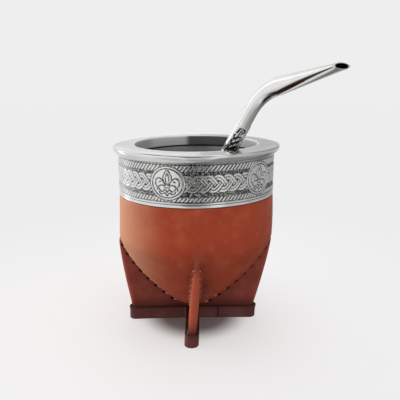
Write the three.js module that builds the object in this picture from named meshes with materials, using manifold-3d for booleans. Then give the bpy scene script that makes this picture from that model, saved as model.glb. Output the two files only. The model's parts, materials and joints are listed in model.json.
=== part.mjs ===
import * as THREE from 'three';
import { mergeVertices } from 'three/addons/utils/BufferGeometryUtils.js';
import Module from 'manifold-3d';

// A leather covered mate gourd with a metal ring, a steel liner, four leather fins and a metal straw.
// Millimetres, +Z up. The origin is the middle of the foot cross, on the table. The front faces -Y.

// Driving dimensions: the whole cup
const mouthHeight = 99.9;
const mouthRadius = 32.4;
const gap = 0.3;
const roundSegments = 56;

// Driving dimensions: the hand-made lean, a drift of the leather to the right up to leanHeight
const leanReach = 2.3;
const leanHeight = 60;
const frontFinLean = 1.3;

// Driving dimensions: the metal ring round the top
const rimRadius = 44;
const rimHeight = 98.8;
const rimShoulder = 1.1;
const rimUnderFlare = 0.5;
const bandRadius = 41.35;
const bandTop = 95;
const bandFoot = 73.2;
const ringWall = 1.1;
const collarDepth = 5.3;
const mouthEdgeRound = 0.6;

// Driving dimensions: the steel liner
const linerTopRadius = 32.2;
const linerBowlRadius = 30;
const linerBowlHeight = 50.4;
const linerWall = 0.8;

// Driving dimensions: the leather bowl
const bowlRadius = 41.8;
const bowlShoulder = 51.4;
const bowlTip = 6.1;
const bowlTopNarrowing = 0.55;
const bowlFullness = 1.37;
const bowlPointedness = 1.24;

// Driving dimensions: the fins and the belt round their feet
const finThickness = 4.6;
const finTopThickness = 2.4;
const finTaperHeight = 28;
const finTopHeight = 48;
const finTopReach = 42.4;
const finFlare = 1.3;
const finClearance = 0.45;
const finSteps = 10;
const beltHeight = 6.8;
const beltThickness = 1.1;
const beltInsideRound = 2.2;
const beltJointReach = 11.5;
const beltJointWidth = 0.4;
const arms = [
  { name: 'fin_front', turn: -90, reach: 37.4, lean: frontFinLean, start: finThickness / 2 + gap },
  { name: 'fin_right', turn: 0, reach: 36, lean: 0, start: -finThickness / 2 },
  { name: 'fin_back', turn: 90, reach: 37.4, lean: 0, start: finThickness / 2 + gap },
  { name: 'fin_left', turn: 184, reach: 36, lean: 0, start: finThickness / 2 + 2 * gap },
];

// Driving dimensions: the straw, a tube that leans out over the front right of the mouth and bends flatter
const strawRadius = 3.25;
const strawWall = 0.7;
const strawTurn = -50.7;
const strawTilt = 35.5;
const strawMouthReach = 27.8;
const strawBelowMouth = 85.2;
const strawAboveMouth = 34.4;
const strawUpperLength = 40.9;
const strawUpperRise = 11.9;
const strawBendRadius = 25;
const strawBendHalfDepth = 4.25;
const strawBendHalfWidth = 3.85;
const strawTipHalfDepth = 1.4;
const strawTipHalfWidth = 4.4;
const bulbRadius = 5;
const bulbHalfLength = 10;
const strawSegments = 16;

const leather = new THREE.MeshStandardMaterial({ color: 0xa5502f, roughness: 0.45, metalness: 0 });
const finLeather = new THREE.MeshStandardMaterial({ color: 0x7a3a2c, roughness: 0.5, metalness: 0 });
const beltLeather = new THREE.MeshStandardMaterial({ color: 0x54302a, roughness: 0.5, metalness: 0 });
const ringMetal = new THREE.MeshStandardMaterial({ color: 0xb9babb, roughness: 0.28, metalness: 1 });
const linerSteel = new THREE.MeshStandardMaterial({ color: 0x9a9a9c, roughness: 0.35, metalness: 1 });
const strawMetal = new THREE.MeshStandardMaterial({ color: 0xd2d2d0, roughness: 0.15, metalness: 1 });

const wasm = await Module();
wasm.setup();

const radians = THREE.MathUtils.degToRad;
const clamp = THREE.MathUtils.clamp;
const lerp = THREE.MathUtils.lerp;

// Welds the corners of a geometry and drops the triangles that a pole has shrunk to nothing
function welded(geometry) {
  geometry.deleteAttribute('normal');
  geometry.deleteAttribute('uv');
  const merged = mergeVertices(geometry, 1e-3);
  const index = merged.getIndex().array;
  const kept = [];
  for (let i = 0; i < index.length; i += 3) {
    const [a, b, c] = [index[i], index[i + 1], index[i + 2]];
    if (a !== b && b !== c && c !== a) {
      kept.push(a, b, c);
    }
  }
  merged.setIndex(kept);
  return merged;
}

// Turns a welded geometry into a solid that can be cut
function toSolid(geometry) {
  const vertProperties = new Float32Array(geometry.getAttribute('position').array);
  const triVerts = new Uint32Array(geometry.getIndex().array);
  return new wasm.Manifold(new wasm.Mesh({ numProp: 3, vertProperties, triVerts }));
}

// Turns a cut solid back into a geometry
function toGeometry(solid) {
  const mesh = solid.getMesh();
  const geometry = new THREE.BufferGeometry();
  geometry.setAttribute('position', new THREE.BufferAttribute(new Float32Array(mesh.vertProperties), 3));
  geometry.setIndex(Array.from(mesh.triVerts));
  return geometry;
}

// Moves every corner of a geometry by a function of its place
function reshaped(geometry, move) {
  const position = geometry.getAttribute('position');
  const point = new THREE.Vector3();
  for (let i = 0; i < position.count; i++) {
    point.fromBufferAttribute(position, i);
    move(point);
    position.setXYZ(i, point.x, point.y, point.z);
  }
  return geometry;
}

// How far to the right the leather has drifted at a height
function leanAt(height) {
  return leanReach * clamp(height / leanHeight, 0, 1);
}

// Spins a profile of radius and height round the vertical axis
function spun(profile, segments) {
  return welded(new THREE.LatheGeometry(profile, segments).rotateX(Math.PI / 2));
}

// The bowl's outside radius at a height: pointed below, full at the shoulder, narrower on top
function bowlRadiusAt(height) {
  if (height >= bowlShoulder) {
    const climb = (height - bowlShoulder) / (bandFoot - bowlShoulder);
    return bowlRadius - bowlTopNarrowing * climb * climb;
  }
  const drop = (bowlShoulder - height) / (bowlShoulder - bowlTip);
  return bowlRadius * Math.pow(1 - Math.pow(drop, bowlFullness), 1 / bowlPointedness);
}

// The ring: a collar in the mouth, a flat flange, a rim that curls under, and a band down the outside
function ringProfile() {
  const path = new THREE.Path();
  const collarOutside = mouthRadius + ringWall;
  const bandInside = bandRadius - ringWall;
  const flangeUnderside = mouthHeight - ringWall;
  path.moveTo(mouthRadius, mouthHeight - collarDepth);
  path.lineTo(collarOutside, mouthHeight - collarDepth);
  path.lineTo(collarOutside, flangeUnderside);
  path.lineTo(bandInside, flangeUnderside);
  path.lineTo(bandInside, bandFoot);
  path.lineTo(bandRadius, bandFoot);
  path.lineTo(bandRadius, bandTop);
  path.quadraticCurveTo(rimRadius, bandTop + rimUnderFlare, rimRadius, rimHeight);
  path.quadraticCurveTo(rimRadius, mouthHeight, rimRadius - rimShoulder, mouthHeight);
  path.lineTo(mouthRadius + mouthEdgeRound, mouthHeight);
  path.quadraticCurveTo(mouthRadius, mouthHeight, mouthRadius, mouthHeight - mouthEdgeRound);
  path.lineTo(mouthRadius, mouthHeight - collarDepth);
  return path.getPoints(4);
}

// The liner's profile, moved out by an offset: a slightly tapered wall on a round bottom, up to a height
function linerCurve(offset, topHeight) {
  const bottomSteps = 9;
  const points = [];
  for (let step = 0; step <= bottomSteps; step++) {
    const angle = (step / bottomSteps) * (Math.PI / 2);
    const radius = (linerBowlRadius + offset) * Math.sin(angle);
    points.push(new THREE.Vector2(radius, linerBowlHeight - (linerBowlRadius + offset) * Math.cos(angle)));
  }
  points.push(new THREE.Vector2(linerTopRadius + offset, topHeight));
  return points;
}

function makeLiner() {
  const linerTop = mouthHeight - collarDepth - gap;
  const outside = linerCurve(linerWall, linerTop);
  const inside = linerCurve(0, linerTop).reverse();
  return spun([...outside, ...inside], roundSegments);
}

// The leather's outside from its tip to a height, moved outwards by an offset
function bowlCurve(offset, topHeight) {
  const steps = 18;
  const points = [];
  for (let step = 0; step <= steps; step++) {
    const height = bowlShoulder - (bowlShoulder - bowlTip) * Math.cos((step / steps) * (Math.PI / 2));
    const radius = step === 0 ? 0 : bowlRadiusAt(height) + offset;
    points.push(new THREE.Vector2(radius, step === 0 ? bowlTip - offset : height));
  }
  for (const share of [0.33, 0.66, 1]) {
    const height = lerp(bowlShoulder, topHeight, share);
    points.push(new THREE.Vector2(bowlRadiusAt(height) + offset, height));
  }
  return points;
}

// Leans a round leather form to its place over the feet
function leaned(geometry) {
  return reshaped(geometry, (point) => {
    point.x += leanAt(point.z);
  });
}

// The gourd and its leather in one: the leaning outside, less the hollow for the liner and the collar
function makeBowl() {
  const leatherTop = bandFoot - gap;
  const lipRadius = bandRadius - ringWall - gap;
  const lipTop = mouthHeight - ringWall - gap;
  const outside = bowlCurve(0, leatherTop);
  outside.push(new THREE.Vector2(lipRadius, leatherTop));
  outside.push(new THREE.Vector2(lipRadius, lipTop));
  outside.push(new THREE.Vector2(0, lipTop));
  const body = leaned(spun(outside, roundSegments));

  const collarFoot = mouthHeight - collarDepth - gap;
  const hollow = linerCurve(linerWall + gap, collarFoot);
  const collarRoom = mouthRadius + ringWall + gap;
  hollow.push(new THREE.Vector2(collarRoom, collarFoot));
  hollow.push(new THREE.Vector2(collarRoom, mouthHeight));
  hollow.push(new THREE.Vector2(0, mouthHeight));
  const room = spun(hollow, roundSegments).translate(leanReach, 0, 0);
  return toGeometry(toSolid(body).subtract(toSolid(room)));
}

// The space that the fins keep clear of: the bowl's outside and the gap round it
const bowlRoomCurve = bowlCurve(finClearance, bandFoot);
bowlRoomCurve.push(new THREE.Vector2(0, bandFoot));
const bowlRoom = toSolid(leaned(spun(bowlRoomCurve, roundSegments)));

// How far out a fin's outer edge stands at a height: upright inside the belt, then flaring out to the bowl
function finReachAt(height, footReach) {
  const climb = clamp((height - beltHeight) / (finTopHeight - beltHeight), 0, 1);
  return lerp(footReach, finTopReach, 1 - Math.pow(1 - climb, finFlare));
}

// One fin: an upright leather plate with a rounded outer edge, thinner on top, cut along the bowl
function makeFin(arm) {
  const footReach = arm.reach - beltThickness - gap;
  const half = finThickness / 2;
  const plan = new THREE.Shape();
  plan.moveTo(arm.start, -half);
  plan.lineTo(footReach - half, -half);
  plan.absarc(footReach - half, 0, half, -Math.PI / 2, Math.PI / 2, false);
  plan.lineTo(arm.start, half);
  plan.closePath();
  const options = { depth: finTopHeight, steps: finSteps, bevelEnabled: false, curveSegments: 6 };
  const plate = welded(new THREE.ExtrudeGeometry(plan, options));
  reshaped(plate, (point) => {
    const taper = clamp((point.z - finTaperHeight) / (finTopHeight - finTaperHeight), 0, 1);
    const stretch = (finReachAt(point.z, footReach) - arm.start) / (footReach - arm.start);
    point.x = arm.start + (point.x - arm.start) * stretch;
    point.y *= lerp(1, finTopThickness / finThickness, taper);
  });
  plate.rotateZ(radians(arm.turn));
  reshaped(plate, (point) => {
    point.x += leanAt(point.z) + (arm.lean * point.z) / finTopHeight;
  });
  return toGeometry(toSolid(plate).subtract(bowlRoom));
}

// A unit arrow in the plan, at an angle in degrees
function arrow(turn) {
  return new THREE.Vector2(Math.cos(radians(turn)), Math.sin(radians(turn)));
}

// Where the facing sides of two neighbouring arms meet in the plan, each side off its arm's middle line
function insideCorner(turn, nextTurn, side) {
  const between = radians(nextTurn - turn);
  const alongArm = (side * (1 + Math.cos(between))) / Math.sin(between);
  return arrow(turn).multiplyScalar(alongArm).addScaledVector(arrow(turn + 90), side);
}

// The closed outline round all four arms, with half-round ends and rounded inside corners
function crossOutline(side, shrink) {
  const outline = new THREE.Shape();
  arms.forEach((arm, place) => {
    const next = arms[(place + 1) % arms.length];
    const nextTurn = next.turn < arm.turn ? next.turn + 360 : next.turn;
    const end = arrow(arm.turn).multiplyScalar(arm.reach - shrink - side);
    outline.absarc(end.x, end.y, side, radians(arm.turn - 90), radians(arm.turn + 90), false);
    const corner = insideCorner(arm.turn, nextTurn, side);
    const before = corner.clone().addScaledVector(arrow(arm.turn), beltInsideRound);
    const after = corner.clone().addScaledVector(arrow(nextTurn), beltInsideRound);
    outline.lineTo(before.x, before.y);
    outline.quadraticCurveTo(corner.x, corner.y, after.x, after.y);
  });
  outline.closePath();
  return outline;
}

// The belt: one strip of leather round the whole foot cross, its two ends meeting on the right arm's front
function makeBelt() {
  const insideSide = finThickness / 2 + gap;
  const outsideSide = insideSide + beltThickness;
  const outline = crossOutline(outsideSide, 0);
  outline.holes.push(crossOutline(insideSide, beltThickness));
  const options = { depth: beltHeight, bevelEnabled: false, curveSegments: 8 };
  const strip = leaned(welded(new THREE.ExtrudeGeometry(outline, options)));
  const joint = welded(new THREE.BoxGeometry(beltJointWidth, beltThickness * 2, beltHeight * 2));
  joint.translate(beltJointReach, -(insideSide + beltThickness / 2), beltHeight / 2);
  return toGeometry(toSolid(strip).subtract(toSolid(joint)));
}

// Distances along the straw, from the end of its bulb
const bendAngle = radians(90 - strawTilt - strawUpperRise);
const bendTangent = strawBendRadius * Math.tan(bendAngle / 2);
const lowerLength = strawBelowMouth + strawAboveMouth - bendTangent;
const bendLength = strawBendRadius * bendAngle;
const upperLength = strawUpperLength - bendTangent;
const strawLength = lowerLength + bendLength + upperLength;
const strawBore = strawRadius - strawWall;

// The straw's middle line at a distance along it: its reach from the cup's axis, its height and its tilt
function strawPlace(distance) {
  const lowTilt = radians(strawTilt);
  const start = new THREE.Vector2(
    strawMouthReach - strawBelowMouth * Math.sin(lowTilt),
    mouthHeight - strawBelowMouth * Math.cos(lowTilt),
  );
  const straight = Math.min(distance, lowerLength);
  const turned = clamp((distance - lowerLength) / strawBendRadius, 0, bendAngle);
  const beyond = Math.max(distance - lowerLength - bendLength, 0);
  const tilt = lowTilt + turned;
  const along = new THREE.Vector2(Math.sin(tilt), Math.cos(tilt));
  start.x += straight * Math.sin(lowTilt) + strawBendRadius * (Math.cos(lowTilt) - Math.cos(tilt));
  start.y += straight * Math.cos(lowTilt) + strawBendRadius * (Math.sin(tilt) - Math.sin(lowTilt));
  start.addScaledVector(along, beyond);
  return { reach: start.x, height: start.y, tilt };
}

// Half the straw's width and depth at a distance along it: round below the bend, flat at the mouthpiece
function strawSection(distance) {
  const bend = clamp((distance - lowerLength) / bendLength, 0, 1);
  const upper = clamp((distance - lowerLength - bendLength) / upperLength, 0, 1);
  const depth = lerp(lerp(strawRadius, strawBendHalfDepth, bend), strawTipHalfDepth, upper);
  const width = lerp(lerp(strawRadius, strawBendHalfWidth, bend), strawTipHalfWidth, upper);
  return { width, depth };
}

// The straw before bending: a closed bulb, then a tube whose bore runs down from the mouthpiece
function straightStraw() {
  const bulbSteps = 7;
  const bendSteps = 10;
  const upperSteps = 5;
  const bulbTurn = Math.PI - Math.asin(strawRadius / bulbRadius);
  const outside = [];
  for (let step = 0; step <= bulbSteps; step++) {
    const angle = (step / bulbSteps) * bulbTurn;
    const radius = step === 0 ? 0 : bulbRadius * Math.sin(angle);
    outside.push(new THREE.Vector2(radius, bulbHalfLength * (1 - Math.cos(angle))));
  }
  const bulbTop = outside[bulbSteps].y;
  const stations = [lerp(bulbTop, lowerLength, 0.5)];
  for (let step = 0; step <= bendSteps; step++) {
    stations.push(lowerLength + (step / bendSteps) * bendLength);
  }
  for (let step = 1; step <= upperSteps; step++) {
    stations.push(strawLength - upperLength * (1 - step / upperSteps));
  }
  for (const station of stations) {
    outside.push(new THREE.Vector2(strawRadius, station));
  }
  const inside = stations.reverse().map((station) => new THREE.Vector2(strawBore, station));
  inside.push(new THREE.Vector2(0, inside[inside.length - 1].y - strawBore));
  return spun([...outside, ...inside], strawSegments);
}

// The straw, bent and flattened along its length; its wall keeps one thickness round the bore
function makeStraw() {
  const turn = radians(strawTurn);
  const sideways = new THREE.Vector3(-Math.sin(turn), Math.cos(turn), 0);
  return reshaped(straightStraw(), (point) => {
    const place = strawPlace(point.z);
    const section = strawSection(point.z);
    const tangent = new THREE.Vector3(
      Math.sin(place.tilt) * Math.cos(turn),
      Math.sin(place.tilt) * Math.sin(turn),
      Math.cos(place.tilt),
    );
    const upward = new THREE.Vector3().crossVectors(tangent, sideways);
    const isBore = Math.hypot(point.x, point.y) < strawBore + strawWall / 2 && point.z > 2 * bulbHalfLength;
    const wall = isBore ? strawWall : 0;
    const widthShare = (section.width - wall) / (strawRadius - wall);
    const depthShare = (section.depth - wall) / (strawRadius - wall);
    const offset = sideways.clone().multiplyScalar(point.x * widthShare);
    offset.addScaledVector(upward, point.y * depthShare);
    point.set(place.reach * Math.cos(turn), place.reach * Math.sin(turn), place.height).add(offset);
  });
}

const cup = new THREE.Group();

function addMesh(name, geometry, material, offset = 0) {
  const mesh = new THREE.Mesh(geometry, material);
  mesh.name = name;
  mesh.position.x = offset;
  cup.add(mesh);
}

addMesh('ring', spun(ringProfile(), roundSegments), ringMetal, leanReach);
addMesh('liner', makeLiner(), linerSteel, leanReach);
addMesh('leather_bowl', makeBowl(), leather);
for (const arm of arms) {
  addMesh(arm.name, makeFin(arm), finLeather);
}
addMesh('belt', makeBelt(), beltLeather);
addMesh('straw', makeStraw(), strawMetal, leanReach);

export default cup;
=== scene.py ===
import json
import math
from collections import namedtuple

import bpy
import numpy as np
from mathutils import Matrix, Vector

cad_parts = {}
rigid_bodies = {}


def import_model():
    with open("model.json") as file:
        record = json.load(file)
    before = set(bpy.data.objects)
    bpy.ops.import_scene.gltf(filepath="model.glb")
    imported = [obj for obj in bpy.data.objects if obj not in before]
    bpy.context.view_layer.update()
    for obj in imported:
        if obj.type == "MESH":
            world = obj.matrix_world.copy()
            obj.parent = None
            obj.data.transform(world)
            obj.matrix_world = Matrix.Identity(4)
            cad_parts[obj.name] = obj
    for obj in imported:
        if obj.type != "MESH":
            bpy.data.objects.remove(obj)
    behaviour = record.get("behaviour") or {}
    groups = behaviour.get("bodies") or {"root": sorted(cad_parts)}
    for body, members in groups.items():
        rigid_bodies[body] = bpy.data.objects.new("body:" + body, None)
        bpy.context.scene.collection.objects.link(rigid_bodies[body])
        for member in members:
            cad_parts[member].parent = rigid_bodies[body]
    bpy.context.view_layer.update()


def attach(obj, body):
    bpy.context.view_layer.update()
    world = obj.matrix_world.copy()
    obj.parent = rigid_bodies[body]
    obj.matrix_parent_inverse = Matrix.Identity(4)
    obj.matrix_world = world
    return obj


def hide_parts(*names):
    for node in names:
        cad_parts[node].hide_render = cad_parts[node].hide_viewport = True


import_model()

# A leather covered mate gourd: nickel silver ring, steel liner, four stitched leather fins, metal straw.
# Pieces are modelled in millimetres, with the middle of the foot cross at the origin, and end in metres.
MM = 0.001

# Scales of the finest patterns in the leather and on the brushed metal
PORE_SCALE = 1500.0
HAIRLINE_SCALE = 2200.0

# The lean of the hand-made leather, and the axis that the ring, liner and straw share
LEAN_REACH = 2.3
LEAN_HEIGHT = 60.0
AXIS = LEAN_REACH

# Ring
MOUTH_HEIGHT = 99.9
MOUTH_RADIUS = 32.4
MOUTH_EDGE_ROUND = 1.2
RIM_RADIUS = 44.0
RIM_HEIGHT = 98.8
RIM_SHOULDER = 1.1
RIM_UNDER_FLARE = 1.9
RIM_CROWN = 0.16
RIM_CROWN_START = 38.0
BAND_RADIUS = 41.35
BAND_TOP = 95.0
BAND_FOOT = 74.0
RING_WALL = 1.1
COLLAR_DEPTH = 5.3
GAP = 0.3
RING_STEPS = 192
RING_DIP = 0.0142
RING_DIP_FROM = 76.0
RING_ROLL = 0.008
RING_ROLL_FROM = 66.0

# Stamped ornament on the band, laid out as arc length along it and height above the table
MEDALLION_PITCH = math.radians(66.5)
FIRST_MEDALLION = math.radians(-175.0)
MEDALLION_COUNT = 5
# Painted reflections on the band: a painted dark reflection that thickens the oxide, with the way it faces,
# its strength at foot and top and the heights between, and a painted highlight that clears the oxide, with
# the way it faces and how much it clears
DARK_REFLECTION_FACES = math.radians(-90.0)
DARK_REFLECTION_FOOT = 0.3
DARK_REFLECTION_TOP = 0.68
DARK_REFLECTION_HEIGHTS = (79.0, 84.0)
HIGHLIGHT_FACES = math.radians(-163.0)
HIGHLIGHT_CLEARS_OXIDE = 0.68
STRIP_TOP = 75.5
ORNAMENT_BACK = 0.6
ORNAMENT_COLUMNS = 280
ORNAMENT_ROWS = 116
MEDALLION_HEIGHT = 85.9
MEDALLION_RADIUS = 8.8
MEDALLION_SQUASH = 0.92
BRAID_HEIGHT = 85.7
BRAID_SWING = 3.05
BRAID_HALF_WIDTH = 1.3
BRAID_LOOPS = 10
ROPE_STROKES = 25
LOWER_ROPE = (76.9, 79.4)
UPPER_ROPE = (91.5, 94.7)
FOOT_LINE_HEIGHT = 76.75
MEDALLION_GROOVE = 7.65
LILY_REACH = 7.9

# Levels of the stamped grounds below the band's face, and how far their ornament rises or is cut in
PUNCHED_GROUND = -0.38
PUNCHED_DOT_RISE = 0.14
BRAID_GROUND = -0.34
BRAID_RISE = 0.3
BRAID_LINE_CUT = 0.2
ROPE_GROUND = -0.3
ROPE_RISE = 0.28
MEDALLION_GROUND = -0.32
MEDALLION_CUT = 0.26
EDGE_CUT = 0.25

# The medallion's lily, as seen on its left half, from the medallion's middle
LILY_LINES = [
    [(0.0, 7.35), (-0.95, 5.9), (-1.75, 4.4), (-2.15, 3.0), (-2.0, 1.5), (-1.35, 0.1), (-0.9, -0.7)],
    [(0.0, 5.3), (-0.7, 3.6), (-0.85, 1.8), (-0.4, -0.2)],
    [
        (-1.1, -0.6), (-2.1, 1.2), (-3.3, 2.4), (-4.4, 2.65),
        (-5.5, 1.95), (-5.95, 0.6), (-5.8, -0.9), (-5.2, -2.0),
    ],
    [(-1.2, -1.4), (-2.6, -0.95), (-3.8, -1.4), (-4.7, -2.5), (-5.2, -3.6)],
    [(-3.2, 0.9), (-3.9, 0.6)],
    [(0.0, -0.9), (-1.15, -0.9)],
    [(0.0, -2.4), (-1.3, -2.4)],
    [(0.0, -4.7), (-1.1, -3.35), (-2.3, -4.35), (-3.5, -3.9), (-4.1, -2.9)],
    [(0.0, -6.6), (-1.15, -5.05), (-2.5, -5.75), (-3.6, -5.3), (-4.1, -4.5)],
]

# Liner
LINER_TOP_RADIUS = 32.2
LINER_BOWL_RADIUS = 30.0
LINER_BOWL_HEIGHT = 50.4
LINER_WALL = 0.8

# Leather bowl
BOWL_RADIUS = 41.8
BOWL_SHOULDER = 51.4
BOWL_TIP = 6.1
BOWL_TOP_NARROWING = 0.55
BOWL_FULLNESS = 1.37
BOWL_POINTEDNESS = 1.24

# Painted shade on a fin: how high the foot is darkened, how dark the side and the top are, how bright the
# outer edge is burnished, and the height from which the bowl's leather covers the plate
FOOT_SHADE = 0.6
SIDE_SHADE_HEIGHTS = (20.0, 9.0)
TOP_SHADE_HEIGHTS = (38.0, 46.0)
FinShades = namedtuple("FinShades", "foot_rise side top burnish blends_from")
FRONT_SHADES = FinShades(foot_rise=10.0, side=0.7, top=0.38, burnish=1.0, blends_from=38.0)
OTHER_SHADES = FinShades(foot_rise=7.0, side=0.12, top=0.14, burnish=0.5, blends_from=46.0)

# Shade on the bowl beside the front fin: its angle and width in degrees, and its heights and strengths
FIN_SHADOW_FACES = -86.0
FIN_SHADOW_WIDTH = 11.0
UPPER_SHADOW_HEIGHTS = (60.0, 50.0)
UPPER_SHADOW = 0.24
LOWER_SHADOW_HEIGHTS = (44.0, 28.0)
LOWER_SHADOW = 0.3

# Arms of the foot cross: turn in degrees, reach of the belt's tip, extra lean, and where the plate starts
Arm = namedtuple("Arm", "name turn reach lean plate_start shades")
ARMS = [
    Arm("fin_front", -90.0, 37.4, 1.3, 2.6, FRONT_SHADES),
    Arm("fin_right", 0.0, 36.0, 0.0, -2.3, OTHER_SHADES),
    Arm("fin_back", 90.0, 37.4, 0.0, 2.6, OTHER_SHADES),
    Arm("fin_left", 184.0, 36.0, 0.0, 2.9, OTHER_SHADES),
]
FIN_HALF = 2.3
FIN_TOP_HALF = 1.2
FIN_TAPER_HEIGHT = 28.0
FIN_TOP_HEIGHT = 48.0
FIN_TOP_REACH = 42.4
FIN_FADE_HEIGHT = 52.0
FIN_FLARE = 1.3
FIN_FOOT_HEIGHT = 0.15
FIN_SEAM_ZONE = 5.6
FILLET = 1.5

# Rows of a fin's mesh along the seam, and columns near the seam, in the middle and round the edge
FIN_ROWS = 170
FIN_FOOT_ROWS = 71
FIN_NEAR = 22
FIN_MIDDLE = 14
FIN_EDGE = 9

# Belt
BELT_HEIGHT = 6.8
BELT_THICKNESS = 1.1
BELT_INSIDE_ROUND = 2.2
BELT_BEVEL = 0.22
BELT_FLARE = 0.35
BELT_ROWS = 8
BELT_JOINT_REACH = 14.4
BELT_JOINT_WIDTH = 0.06
BELT_JOINT_DARK = 0.5

# Stitches along the seam between bowl and fins
STITCH_PITCH = 6.1
STITCH_OFFSET = 1.1
STITCH_FIRST = 9.0
STITCH_LAST_GAP = 4.0
STITCH_HALF_LENGTH = 1.9
STITCH_HOLE_DEPTH = 0.6
THREAD_RADIUS = 0.42
THREAD_STRETCH = 2.9
THREAD_PROUD = 0.04

# Straw
STRAW_RADIUS = 3.25
STRAW_WALL = 0.7
STRAW_TURN = math.radians(-50.7)
STRAW_TILT = math.radians(36.2)
STRAW_MOUTH_REACH = 27.2
STRAW_BELOW_MOUTH = 85.2
STRAW_ABOVE_MOUTH = 33.3
STRAW_UPPER_LENGTH = 42.3
STRAW_UPPER_RISE = math.radians(13.4)
STRAW_BEND_RADIUS = 27.0
STRAW_BEND_HALF_DEPTH = 4.1
STRAW_BEND_HALF_WIDTH = 3.85
STRAW_TIP_HALF_DEPTH = 1.4
STRAW_TIP_HALF_WIDTH = 4.8
STRAW_TIP_WALL = 0.4
STRAW_STEPS = 112
BULB_RADIUS = 5.0
BULB_HALF_LENGTH = 10.0
ENGRAVING_BELOW_MOUTH = 7.0
ENGRAVING_ABOVE_MOUTH = 14.4
ENGRAVING_FACES = math.radians(-130.0)
ENGRAVED_SLEEVE = 0.3
ENGRAVING_DEPTH = 0.22
BULB_HOLE_DEPTH = 0.7

# The straw's bend, and distances along the straw from its bulb's end
BEND_ANGLE = math.pi / 2 - STRAW_TILT - STRAW_UPPER_RISE
BEND_TANGENT = STRAW_BEND_RADIUS * math.tan(BEND_ANGLE / 2)
LOWER_LENGTH = STRAW_BELOW_MOUTH + STRAW_ABOVE_MOUTH - BEND_TANGENT
BEND_LENGTH = STRAW_BEND_RADIUS * BEND_ANGLE
BEND_END = LOWER_LENGTH + BEND_LENGTH
STRAW_LENGTH = BEND_END + STRAW_UPPER_LENGTH - BEND_TANGENT
ENGRAVING_FOOT = STRAW_BELOW_MOUTH - ENGRAVING_BELOW_MOUTH
ENGRAVING_TOP = STRAW_BELOW_MOUTH + ENGRAVING_ABOVE_MOUTH

# Camera: in front of the cup, without roll, and pitched down
CAMERA_PLACE = (4.33, -255.0, 129.3)
CAMERA_PITCH = math.radians(13.45)
CAMERA_LENS = 43.0

# Studio: the backdrop, the level between the walls, the share of light from below, and what the lamps light
BACKDROP = 0.855
STUDIO_LEVEL = 0.62
UNDER_LIGHT = 0.72
LAMP_LIT = ("bowl_", "fin_", "belt_")

# The studio's walls as the metals see them: brightness, turns, rises and softness of the edges, in degrees.
# Turn 0 is behind the camera, and positive turns are on the right. Later walls cover earlier ones.
BELOW = -90.0
STUDIO_WALLS = [
    # White on the left, with a bright window, and greyer on the right
    (0.95, (-180.0, -12.0), (BELOW, 52.0), 4.0),
    (0.84, (-185.0, -130.0), (BELOW, 2.0), 6.0),
    (1.45, (-129.0, -114.0), (BELOW, 40.0), 3.0),
    (0.64, (-14.0, 6.0), (BELOW, 14.0), 4.0),
    (0.9, (20.0, 42.0), (BELOW, 40.0), 5.0),
    (0.50, (78.0, 100.0), (BELOW, 50.0), 6.0),
    (0.38, (100.0, 158.0), (BELOW, 50.0), 6.0),
    (0.54, (96.0, 160.0), (-20.0, -3.0), 4.0),
    (0.85, (164.0, 185.0), (BELOW, -3.0), 5.0),
    # Dark behind and above the camera
    (0.2, (-20.0, 8.0), (-9.0, 38.0), 2.0),
    (0.12, (-42.0, 26.0), (20.0, 62.0), 4.0),
    # The table, darker on the right
    (0.78, (-180.0, -60.0), (BELOW, -25.0), 6.0),
    (0.62, (-60.0, -20.0), (BELOW, -25.0), 6.0),
    (0.42, (-20.0, 30.0), (BELOW, -45.0), 8.0),
    (0.30, (30.0, 118.0), (BELOW, -30.0), 8.0),
    (0.19, (118.0, 165.0), (BELOW, -24.0), 6.0),
    # A grey strip over a bright one at the back, for the flange
    (0.62, (-190.0, -150.0), (4.0, 9.0), 1.5),
    (0.40, (150.0, 190.0), (4.0, 9.0), 1.5),
    (1.15, (-190.0, -150.0), (1.0, 6.0), 1.0),
    (1.1, (160.0, 190.0), (1.0, 6.0), 1.0),
    # A dark strip high on the left, and a bright ceiling
    (0.10, (-140.0, -38.0), (46.0, 64.0), 3.0),
    (1.35, (-190.0, 190.0), (66.0, 100.0), 4.0),
]


# Colours
def rgb(red, green, blue):
    return (red, green, blue, 1.0)


# Dark, middle and pale tones of each leather
BOWL_TONES = (rgb(0.34, 0.048, 0.020), rgb(0.415, 0.067, 0.029), rgb(0.485, 0.115, 0.052))
FIN_TONES = (rgb(0.205, 0.043, 0.030), rgb(0.27, 0.058, 0.042), rgb(0.335, 0.086, 0.061))
BELT_TONES = (rgb(0.076, 0.024, 0.022), rgb(0.112, 0.037, 0.034), rgb(0.16, 0.053, 0.048))
LEFT_SIDE_TAN = rgb(0.54, 0.28, 0.155)
BURNISHED_RED = rgb(0.40, 0.080, 0.040)
BELT_EDGE_BROWN = rgb(0.055, 0.017, 0.013)
# Black of the painted shade on the leather: stitch holes, hidden hollow, beside and below the fins, belt's
# joint
SHADE_BLACK = rgb(0.012, 0.005, 0.004)
# Dark oxide, also used for painted dark reflections inside the mouth and on the band
RING_OXIDE = rgb(0.045, 0.044, 0.043)
STRAW_OXIDE = rgb(0.04, 0.038, 0.036)
# Brown of the straw's painted dark reflection
REFLECTION_BROWN = rgb(0.055, 0.040, 0.034)
# Painted shadow in the gap under the ring's collar
GAP_SHADOW_BLACK = rgb(0.03, 0.03, 0.03)


# Modelling helpers

def deselect_all():
    bpy.ops.object.select_all(action="DESELECT")


def select_mesh():
    bpy.ops.mesh.select_all(action="SELECT")


def extrude(step):
    """Draws what is selected in edit mode on by one step."""
    bpy.ops.mesh.extrude_region_move(TRANSFORM_OT_translate={"value": step})


def pick(piece):
    """Selects one piece alone and makes it the active one."""
    deselect_all()
    piece.select_set(True)
    bpy.context.view_layer.objects.active = piece


def leave_edit():
    bpy.ops.object.mode_set(mode="OBJECT")


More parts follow.
